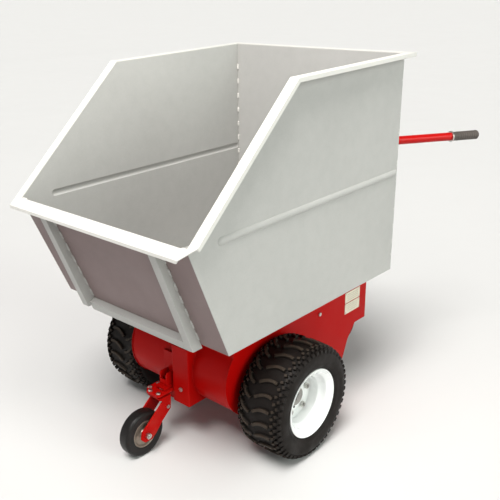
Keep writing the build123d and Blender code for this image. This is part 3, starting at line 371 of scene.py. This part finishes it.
# The rims' lighter copy of the hopper paint: a painted highlight.
RIM_PAINTED_HIGHLIGHT = rim_painted_highlight()
GLOSS_RED = frame_paint("gloss_frame_paint", srgb(176, 11, 9), 0.3)
# Nodes whose finish is a shade of their slot's own: the rims wear a lighter copy of the hopper paint, a painted
# highlight, and the front panel a darker one, a painted shade.
NODE_FINISHES = {
    "rim_left": RIM_PAINTED_HIGHLIGHT,
    "rim_right": RIM_PAINTED_HIGHLIGHT,
    "rim_rear": RIM_PAINTED_HIGHLIGHT,
    "rim_front": RIM_PAINTED_HIGHLIGHT,
    # The front panel wears a darker, browner copy of the hopper paint: painted shade.
    "hopper_front_panel": hopper_paint("front_panel_painted_shade", srgb(128, 113, 112)),
    "handle_left": GLOSS_RED,
    "handle_right": GLOSS_RED,
}

for entry in frame["record"]["subparts"]:
    slots = NODES[entry["node"]].data.materials
    slots.clear()
    slots.append(NODE_FINISHES.get(entry["node"], FINISHES[entry["material_slot"]]))


# ------------------------------------------------------------------ mesh helpers
def piece(name, bm, body, slot, replaced=(), bevel=0.0, material=None, angle=35.0):
    """Turns a bmesh into a piece that rides on a body and wears a slot's finish."""
    bmesh.ops.recalc_face_normals(bm, faces=bm.faces)
    mesh = bpy.data.meshes.new(name)
    bm.to_mesh(mesh)
    bm.free()
    item = bpy.data.objects.new(name, mesh)
    scene.collection.objects.link(item)
    mesh.materials.append(material or FINISHES[slot])
    if bevel:
        rounding = item.modifiers.new("bevel", "BEVEL")
        rounding.width = bevel
        rounding.segments = 2
        rounding.limit_method = "ANGLE"
        rounding.angle_limit = math.radians(angle)
    mesh.polygons.foreach_set("use_smooth", [True] * len(mesh.polygons))
    mesh.set_sharp_from_angle(angle=math.radians(angle))
    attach(item, body)
    if replaced:
        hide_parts(*replaced)
    return item


def ring_of(bm, points):
    """One vertex for each point, in order."""
    return [bm.verts.new(point) for point in points]


def bridge(bm, first, second):
    """Faces between two closed rings of the same length."""
    count = len(first)
    for i in range(count):
        j = (i + 1) % count
        bm.faces.new((first[i], first[j], second[j], second[i]))


def lathe(bm, profile, place, segments=96):
    """Closed (along, radius) profile turned about its own axis, then placed."""
    rings = []
    for step in range(segments):
        turn = 2 * math.pi * step / segments
        points = [
            place @ Vector((along, radius * math.cos(turn), radius * math.sin(turn)))
            for along, radius in profile
        ]
        rings.append(ring_of(bm, points))
    for step in range(segments):
        bridge(bm, rings[step], rings[(step + 1) % segments])


def arc_points(centre, radius, start, end, count):
    """Points of a circle's arc, angles in degrees."""
    points = []
    for i in range(count):
        turn = math.radians(start + (end - start) * i / (count - 1))
        points.append((centre[0] + radius * math.cos(turn), centre[1] + radius * math.sin(turn)))
    return points


# ------------------------------------------------------------------ drive wheels
TYRE_RADIUS = 203.0
BAR_COUNT = 25
BAR_STEPS = 8
LUG_DEPTH = 10.0


def crown(across):
    """Radius of the lug tops, at a distance from the tyre's middle."""
    shoulder = max(0.0, abs(across) - 60.0)
    return TYRE_RADIUS - 0.0006 * across * across - 0.0125 * shoulder * shoulder


def carcass_profile():
    """The tyre's section without its lugs, from bead to bead."""
    steps = [-88 + 8 * i for i in range(23)]
    tread = [(across, crown(across) - LUG_DEPTH) for across in steps]
    wall = [
        (91.5, 170), (92.5, 160), (91, 148), (88.5, 138), (88.5, 135), (86, 131), (83.4, 125.5),
        (80.4, 122.8), (75, 113.4), (69, 105), (66, 101.9),
    ]
    left = [(-across, radius) for across, radius in reversed(wall)]
    return left + tread + wall


def block(bm, place, path, half_width, foot, top_shrink=1.6):
    """A raised bar on the tread: path is (across, along the tread), all in mm.

    foot is how far the bar reaches down from the lug tops, and top_shrink how far its top
    draws in from its foot.
    """
    sections = []
    last = len(path) - 1
    for i, (across, along) in enumerate(path):
        ahead = path[min(i + 1, last)]
        behind = path[max(i - 1, 0)]
        run = Vector((ahead[0] - behind[0], ahead[1] - behind[1])).normalized()
        normal = Vector((-run.y, run.x))
        end = -1 if i == 0 else (1 if i == last else 0)
        ring = []
        for level, shrink in ((0, 0.0), (1, top_shrink)):
            for side in ((-1, 1) if level == 0 else (1, -1)):
                spot = Vector((across, along)) + normal * side * (half_width - shrink)
                spot -= run * end * shrink
                radius = crown(spot.x) - (0.0 if level else foot)
                turn = spot.y / TYRE_RADIUS
                point = Vector((spot.x, radius * math.cos(turn), radius * math.sin(turn)))
                ring.append(place @ (point * MM))
        sections.append(ring_of(bm, ring))
    for first, second in zip(sections, sections[1:]):
        bridge(bm, first, second)
    bm.faces.new(sections[0])
    bm.faces.new(list(reversed(sections[-1])))


def wheel_place(side):
    """Wheel coordinates (out from the cart, and round the axle) to the row frame."""
    hub = Vector(JOINTS["left_wheel_spin"]["pos_m"])
    flip = Matrix.Diagonal((side, 1, 1, 1))
    return Matrix.Translation((side * hub.x, hub.y, hub.z)) @ flip


def tyre(name, side):
    """Carcass with long curved bars down its middle and rows of blocks at its shoulders."""
    place = wheel_place(side)
    bm = bmesh.new()
    profile = [(a * MM, r * MM) for a, r in carcass_profile()]
    lathe(bm, profile, place, 120)
    pitch = 2 * math.pi * TYRE_RADIUS / BAR_COUNT
    for i in range(BAR_COUNT):
        start = i * pitch
        bar = []
        tail = []
        for step in range(BAR_STEPS + 1):
            t = step / BAR_STEPS
            bar.append((-17 + 68 * t, start - 17 * t - 9 * math.sin(math.pi * t)))
            tail.append((-31 - 42 * t, start + 8 - 34 * t + 7 * math.sin(math.pi * t)))
        block(bm, place, bar, 6.6, LUG_DEPTH + 2)
        block(bm, place, tail, 6.0, LUG_DEPTH + 2)
        for half in (0, pitch / 2):
            for edge in (1, -1):
                shift = start + half + (0 if edge > 0 else 9)
                inner = [(edge * 57, shift), (edge * 68, shift - 4)]
                middle = [(edge * 70, shift + 13), (edge * 80, shift + 10)]
                outer = [(edge * 81, shift), (edge * 89, shift - 1)]
                block(bm, place, inner, 5.4, LUG_DEPTH, 1.0)
                block(bm, place, middle, 6.4, LUG_DEPTH, 1.0)
                block(bm, place, outer, 8.6, LUG_DEPTH, 1.4)
    return piece(
        f"tyre_{name}_lugged", bm, f"wheel_{name}", "tyre_rubber", (f"tyre_{name}",),
        bevel=0.0009, angle=40,
    )


def rim_profile():
    """Wheel rim section: rolled lips, bead seats, drop centre and a thin wall."""
    outer = arc_points((80.6, 118.6), 3.4, 200, -60, 9)
    seat = [
        (81.4, 115.6), (80.2, 113.2), (76, 107.5), (71, 100.5), (67, 97.6), (62, 96.8), (54, 95.5),
        (46, 90.5), (41, 85.5), (36, 84.2), (6.5, 84), (4.5, 82.5), (3.4, 78), (3.2, 66), (5, 60),
        (8.5, 52), (9.6, 46), (9.6, 28), (5.6, 28), (5.6, 44), (4, 49), (0, 58), (-1.6, 66),
        (-1.6, 79), (-3, 83), (-38, 84.2), (-43, 87), (-50, 94), (-56, 96.5), (-78, 97.5),
        (-80.5, 101), (-81, 113),
    ]
    inner = arc_points((-80.6, 118.6), 3.4, 240, -20, 9)
    back = [
        (-77.2, 104), (-75.5, 101.2), (-52, 100.2), (-40, 88.2), (40, 88.2), (52, 100.2),
        (65, 101.4), (68.5, 103.8), (75, 112.6),
    ]
    return outer + seat + inner + back


def wheel_rim(name, side):
    bm = bmesh.new()
    profile = [(a * MM, r * MM) for a, r in rim_profile()]
    lathe(bm, profile, wheel_place(side), 128)
    return piece(
        f"wheel_rim_{name}_turned", bm, f"wheel_{name}", "rim_paint", (f"wheel_rim_{name}",),
        bevel=0.0006, angle=25,
    )


def valve_stem(name, side):
    """Rubber stem through the rim, with a cap, leaning out of the dish."""
    bm = bmesh.new()
    base = [(0, 0.5), (0, 6), (3, 6.2), (5, 4.2), (12, 3.6)]
    cap = [(13, 4.2), (19, 4.2), (20, 3.4), (20, 0.5)]
    lean = Matrix.Rotation(math.radians(20), 4, "Y")
    spot = Matrix.Translation((49 * MM, 0, -91 * MM))
    turn = Matrix.Rotation(math.radians(-104), 4, "X")
    place = wheel_place(side) @ turn @ spot @ lean.inverted()
    lathe(bm, [(a * MM, r * MM) for a, r in base + cap], place, 20)
    return piece(f"valve_{name}", bm, f"wheel_{name}", "pad_rubber", bevel=0.0004)


for name, side in SIDES:
    tyre(name, side)
    wheel_rim(name, side)
    valve_stem(name, side)


# ------------------------------------------------------------------ casters
def caster_wheel(name, tyre_node, hub_node, body):
    """Rubber tread with a rounded shoulder and a step, on a dished steel hub."""
    low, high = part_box(tyre_node)
    centre = (low + high) / 2
    half = (high.x - low.x) / 2 / MM
    radius = (high.z - low.z) / 2 / MM
    place = Matrix.Translation(centre)
    seat = radius * 0.6
    tread = [(half - 6, seat), (half - 1.5, seat + 1), (half - 0.4, seat + 6),
             (half - 1.6, radius - 16), (half - 0.2, radius - 12.5)]
    tread += arc_points((half - 9.2, radius - 9.0), 9.0, -10, 90, 8)
    mirrored = [(-across, r) for across, r in reversed(tread)]
    bm = bmesh.new()
    lathe(bm, [(a * MM, r * MM) for a, r in tread + mirrored], place, 96)
    piece(f"{name}_tread", bm, body, "caster_rubber", (tyre_node,), bevel=0.0004, angle=40)

    hub_low, hub_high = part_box(hub_node)
    boss = (hub_high.x - hub_low.x) / 2 / MM
    half_profile = [
        (boss, 6.1), (boss, 13), (boss - 1, 15), (boss - 7, 16.5), (half - 9, 19),
        (half - 11.5, 25), (half - 11.5, seat - 14), (half - 9, seat - 8), (half - 4, seat - 5),
        (half - 2.2, seat - 3), (half - 2.4, seat - 0.4), (half - 6.2, seat - 0.1),
    ]
    other = [(-across, r) for across, r in reversed(half_profile)]
    bm = bmesh.new()
    lathe(bm, [(a * MM, r * MM) for a, r in half_profile + other], place, 72)
    piece(f"{name}_dish", bm, body, "caster_metal", (hub_node,), bevel=0.0006, angle=25)


caster_wheel("front_caster", "caster_tyre", "caster_hub", "caster_wheel")
caster_wheel("rear_caster", "rear_caster_tyre", "rear_caster_hub", "rear_wheel")


# ------------------------------------------------------------------ grips
RIB_COUNT = 8
RIB_PITCH = 11.5


def grip_profile():
    """Closed (along, radius) section: domed end, ribs, a waist and an end ring."""
    profile = [(-4, 0.6), (-4, 13), (-3.2, 16.5), (-1, 18.4), (2.5, 19), (8, 18.8), (10, 17.8)]
    for rib in range(RIB_COUNT):
        start = 14 + rib * RIB_PITCH
        profile += [(start, 17.7), (start + 1.5, 18.5), (start + 7, 18.6), (start + 8.5, 17.7)]
    profile += [(110, 17.6), (118, 17.7), (121, 18.8), (122.5, 20), (127, 20), (128, 19.2)]
    return profile + [(128, 16.9), (0.5, 16.9), (0.5, 0.6)]


def grip_axis(side):
    """The outer end of a handle, and the way its tube points there."""
    joint = JOINTS["throttle_twist"]
    mirror = Vector((-side, 1, 1))
    return Vector(joint["pos_m"]) * mirror, (Vector(joint["axis"]) * mirror).normalized()


def grip_place(side):
    """From the grip's outer end, +X back along the tube towards the cart."""
    end, outward = grip_axis(side)
    inward = -outward
    across = inward.cross(Vector((0, 0, 1))).normalized()
    up = across.cross(inward)
    basis = Matrix((inward, across, up)).transposed().to_4x4()
    return Matrix.Translation(end) @ basis


def grip(name, side, body, node):
    bm = bmesh.new()
    lathe(bm, [(a * MM, r * MM) for a, r in grip_profile()], grip_place(side), 48)
    return piece(name, bm, body, "grip_rubber", (node,), bevel=0.0004, angle=30)


grip("left_grip_ribbed", 1, "chassis", "grip_left")
grip("right_grip_ribbed", -1, "throttle", "throttle_grip")


# ------------------------------------------------------------------ welds
# Where the small pieces go, in metres.
UPRIGHT_X = 0.252
UPRIGHT_HALF = 0.0152
UPRIGHT_FOOT_Y = -0.360
STITCH_COUNT = 7
STITCH_START = 0.022
STITCH_PITCH = 0.05
STITCH_LENGTH = 0.024
HOPPER_INSIDE_X = 0.3791
DAB_COUNT = 12
DAB_PITCH = 0.058
DAB_LENGTH = 0.014
NOSE_Y = -0.072
NOSE_Z = 0.280
NOSE_RADIUS = 0.1475
COLLAR_MIDDLE = 0.1325
COLLAR_RADIUS = 0.0218

random.seed(7)


def weld(name, start, end, radius, body, slot, up, flatten=0.55, material=None):
    """A run of overlapping ripples from start to end, standing out along up."""
    start, end, up = Vector(start), Vector(end), Vector(up).normalized()
    run = end - start
    step = radius * 0.7
    count = max(2, int(run.length / step))
    along = run.normalized()
    across = along.cross(up).normalized()
    bm = bmesh.new()
    for i in range(count + 1):
        size = radius * random.uniform(0.88, 1.08)
        spot = start + run * (i / count) + across * random.uniform(-0.06, 0.06) * radius
        basis = Matrix((along * size, across * size, up * size * flatten)).transposed().to_4x4()
        matrix = Matrix.Translation(spot) @ basis
        bmesh.ops.create_icosphere(bm, subdivisions=2, radius=1.0, matrix=matrix)
    return piece(name, bm, body, slot, material=material, angle=80)


def upright_welds():
    """Short stitches down both sides of each upright, where it meets the panel."""
    panel_low, panel_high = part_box("hopper_front_panel")
    foot = Vector((0, panel_high.y, panel_low.z))
    lip = Vector((0, panel_low.y, panel_high.z))
    along = (lip - foot).normalized()
    foot.y = UPRIGHT_FOOT_Y
    outward = Vector((0, -along.z, along.y))
    for name, side in SIDES:
        for edge in (1, -1):
            x = side * (UPRIGHT_X + edge * UPRIGHT_HALF)
            for i in range(STITCH_COUNT):
                start = foot + along * (STITCH_START + i * STITCH_PITCH)
                start.x = x
                weld(
                    f"upright_weld_{name}_{'out' if edge > 0 else 'in'}_{i}",
                    start, start + along * STITCH_LENGTH, 0.0044, "hopper", "hopper_paint",
                    outward + Vector((side * edge * 0.8, 0, 0)), 0.7,
                )


def corner_caulk():
    """Dabs of sealer down the two rear corners inside the hopper."""
    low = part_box("hopper_rear_wall")[0]
    y = low.y - 0.001
    for name, side in (("right", -1), ("left", 1)):
        x = side * (HOPPER_INSIDE_X - 0.0015)
        for i in range(DAB_COUNT):
            z = low.z + 0.05 + i * DAB_PITCH
            # The dabs wear the rims' lighter paint, whose extra lightness is a painted highlight.
            weld(
                f"corner_dab_{name}_{i}", (x, y, z), (x, y, z + DAB_LENGTH),
                0.0042, "hopper", "hopper_paint", (-side, -1, 0), 0.8, RIM_PAINTED_HIGHLIGHT,
            )


def bracket_welds():
    """Beads up both sides of the post, where it meets the round front."""
    post_low, post_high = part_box("front_post")
    for name, x, lean in (("a", post_low.x - 0.001, -1), ("b", post_high.x + 0.001, 1)):
        centre = Vector((x, NOSE_Y, NOSE_Z))
        previous = None
        for i in range(9):
            turn = math.radians(146 + i * 9)
            radial = Vector((0, math.cos(turn), math.sin(turn)))
            spot = centre + radial * NOSE_RADIUS
            if previous is not None:
                weld(f"post_weld_{name}_{i}", previous, spot, 0.0022, "chassis", "frame_paint",
                     radial + Vector((lean, 0, 0)))
            previous = spot


def rim_corner_weld():
    """A blob where each side rim meets the lip, inside the mouth."""
    low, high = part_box("rim_front")
    for name, side in SIDES:
        start = Vector((side * 0.3745, low.y + 0.029, high.z - 0.0015))
        # The blobs wear the rims' lighter paint, whose extra lightness is a painted highlight.
        weld(f"rim_corner_weld_{name}", start, start + Vector((-side * 0.016, 0.001, 0)), 0.0036,
             "hopper", "hopper_paint", (0, -0.6, 0.8), 0.5, RIM_PAINTED_HIGHLIGHT)


def rivet(name, place, body, slot, radius=0.0028):
    """A small domed rivet; place takes +Z out of the surface."""
    bm = bmesh.new()
    dome = [(0, radius), (0.25, radius), (0.6, radius * 0.8), (0.85, radius * 0.45), (0.95, 0.0001)]
    profile = [(out * radius * 0.6, reach) for out, reach in dome]
    turn = Matrix.Rotation(math.radians(-90), 4, "Y")
    lathe(bm, profile + [(0, 0.0001)], place @ turn, 20)
    return piece(name, bm, body, slot, angle=60)


def plate_rivets():
    """Rivets at the corners of each half of the data plate."""
    low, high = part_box("data_plate")
    middle = (low.z + high.z) / 2
    face = high.x
    for row, z in enumerate((low.z + 0.0055, middle - 0.0075, middle + 0.0075, high.z - 0.0055)):
        for column, y in enumerate((low.y + 0.0055, high.y - 0.0055)):
            place = Matrix.Translation((face, y, z)) @ Matrix.Rotation(math.radians(90), 4, "Y")
            rivet(f"plate_rivet_{row}_{column}", place, "chassis", "zinc")


def plate_lines():
    """Fine raised lines that divide each half of the data plate into fields."""
    low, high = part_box("data_plate")
    middle = (low.z + high.z) / 2
    centre_y = (low.y + high.y) / 2
    size = Matrix.Diagonal((0.0005, high.y - low.y - 0.028, 0.0007, 1))
    bm = bmesh.new()
    for base, top in ((low.z, middle), (middle, high.z)):
        step = (top - base) / 5
        for k in (1.2, 2.1, 3.0, 3.9):
            place = Matrix.Translation((high.x, centre_y, base + step * k))
            bmesh.ops.create_cube(bm, size=1.0, matrix=place @ size)
    piece("plate_lines", bm, "chassis", "black_plastic", bevel=0.0001)


def grip_screws():
    """A small screw through each grip collar."""
    for name, side in SIDES:
        end, outward = grip_axis(side)
        spot = end - outward * COLLAR_MIDDLE + Vector((0, 0, COLLAR_RADIUS))
        rivet(f"collar_screw_{name}", Matrix.Translation(spot), "chassis", "zinc", 0.0026)


upright_welds()
corner_caulk()
bracket_welds()
rim_corner_weld()
plate_rivets()
plate_lines()
grip_screws()


# ------------------------------------------------------------------ camera, light, floor
CAMERA_AZIMUTH = 41.18
CAMERA_ELEVATION = 20.10
CAMERA_ROLL = -0.30
CAMERA_PLACE = Vector((1.6202, -1.6827, 1.5030))
CAMERA_LENS = 51.1
CAMERA_REACH = 2000.0
FLOOR_HALF = 900.0
OVERHEAD_PLACE = (0.35, -0.55, 2.15)
OVERHEAD_BACK = (0.73, -1.08, 1.15)


def make_camera():
    """A camera turned by azimuth and elevation, then rolled about its own line of sight."""
    azimuth = math.radians(CAMERA_AZIMUTH)
    elevation = math.radians(CAMERA_ELEVATION)
    roll = math.radians(CAMERA_ROLL)
    ahead = Vector((
        -math.sin(azimuth) * math.cos(elevation),
        math.cos(azimuth) * math.cos(elevation),
        -math.sin(elevation),
    ))
    right = Vector((math.cos(azimuth), math.sin(azimuth), 0))
    up = right.cross(ahead)
    right_rolled = right * math.cos(roll) + up * math.sin(roll)
    up_rolled = up * math.cos(roll) - right * math.sin(roll)
    data = bpy.data.cameras.new("photo_view")
    data.lens = CAMERA_LENS
    data.sensor_width = 36.0
    data.clip_end = CAMERA_REACH
    camera = bpy.data.objects.new("photo_view", data)
    basis = Matrix((right_rolled, up_rolled, -ahead)).transposed().to_4x4()
    camera.matrix_world = Matrix.Translation(CAMERA_PLACE) @ basis
    scene.collection.objects.link(camera)
    scene.camera = camera


def soft_sun(name, towards, spread, strength, color):
    """Even soft light from one direction, given as the way towards the light."""
    data = bpy.data.lights.new(name, "SUN")
    data.angle = math.radians(spread)
    data.energy = strength
    data.color = color
    lamp = bpy.data.objects.new(name, data)
    lamp.rotation_mode = "QUATERNION"
    lamp.rotation_quaternion = Vector(towards).to_track_quat("Z", "Y")
    scene.collection.objects.link(lamp)


def overhead_lamp():
    """A softbox above the lip, aimed down into the hopper."""
    data = bpy.data.lights.new("overhead", "AREA")
    data.shape = "DISK"
    data.size = 0.7
    data.energy = 16.0
    data.color = (1.0, 0.95, 0.92)
    lamp = bpy.data.objects.new("overhead", data)
    lamp.location = OVERHEAD_PLACE
    lamp.rotation_mode = "QUATERNION"
    lamp.rotation_quaternion = Vector(OVERHEAD_BACK).to_track_quat("Z", "Y")
    lamp.visible_camera = False
    scene.collection.objects.link(lamp)


def studio():
    """Pale floor out to the horizon, a sky that is brightest low down, and two soft suns."""
    bm = bmesh.new()
    bmesh.ops.create_grid(bm, x_segments=2, y_segments=2, size=FLOOR_HALF)
    mesh = bpy.data.meshes.new("studio_floor")
    bm.to_mesh(mesh)
    bm.free()
    floor = bpy.data.objects.new("studio_floor", mesh)
    mesh.materials.append(floor_finish())
    scene.collection.objects.link(floor)
    world = bpy.data.worlds.new("studio_world")
    world.use_nodes = True
    tree = world.node_tree
    sky = tree.nodes["Background"]
    sky.inputs["Color"].default_value = (1.0, 1.0, 1.0, 1.0)
    direction = tree.nodes.new("ShaderNodeTexCoord")
    height = tree.nodes.new("ShaderNodeSeparateXYZ")
    fade = tree.nodes.new("ShaderNodeMapRange")
    fade.inputs["From Min"].default_value = 0.10
    fade.inputs["From Max"].default_value = 0.40
    fade.inputs["To Min"].default_value = 0.86
    fade.inputs["To Max"].default_value = 0.22
    tree.links.new(direction.outputs["Generated"], height.inputs["Vector"])
    tree.links.new(height.outputs["Z"], fade.inputs["Value"])
    tree.links.new(fade.outputs["Result"], sky.inputs["Strength"])
    scene.world = world
    soft_sun("key", (0.20, -0.46, 1.0), 26.0, 3.7, (1.0, 0.975, 0.955))
    soft_sun("side", (1.0, 0.05, 0.42), 40.0, 1.6, (0.93, 1.0, 0.93))


make_camera()
studio()
overhead_lamp()
scene.view_settings.view_transform = "Standard"
scene.view_settings.look = "None"
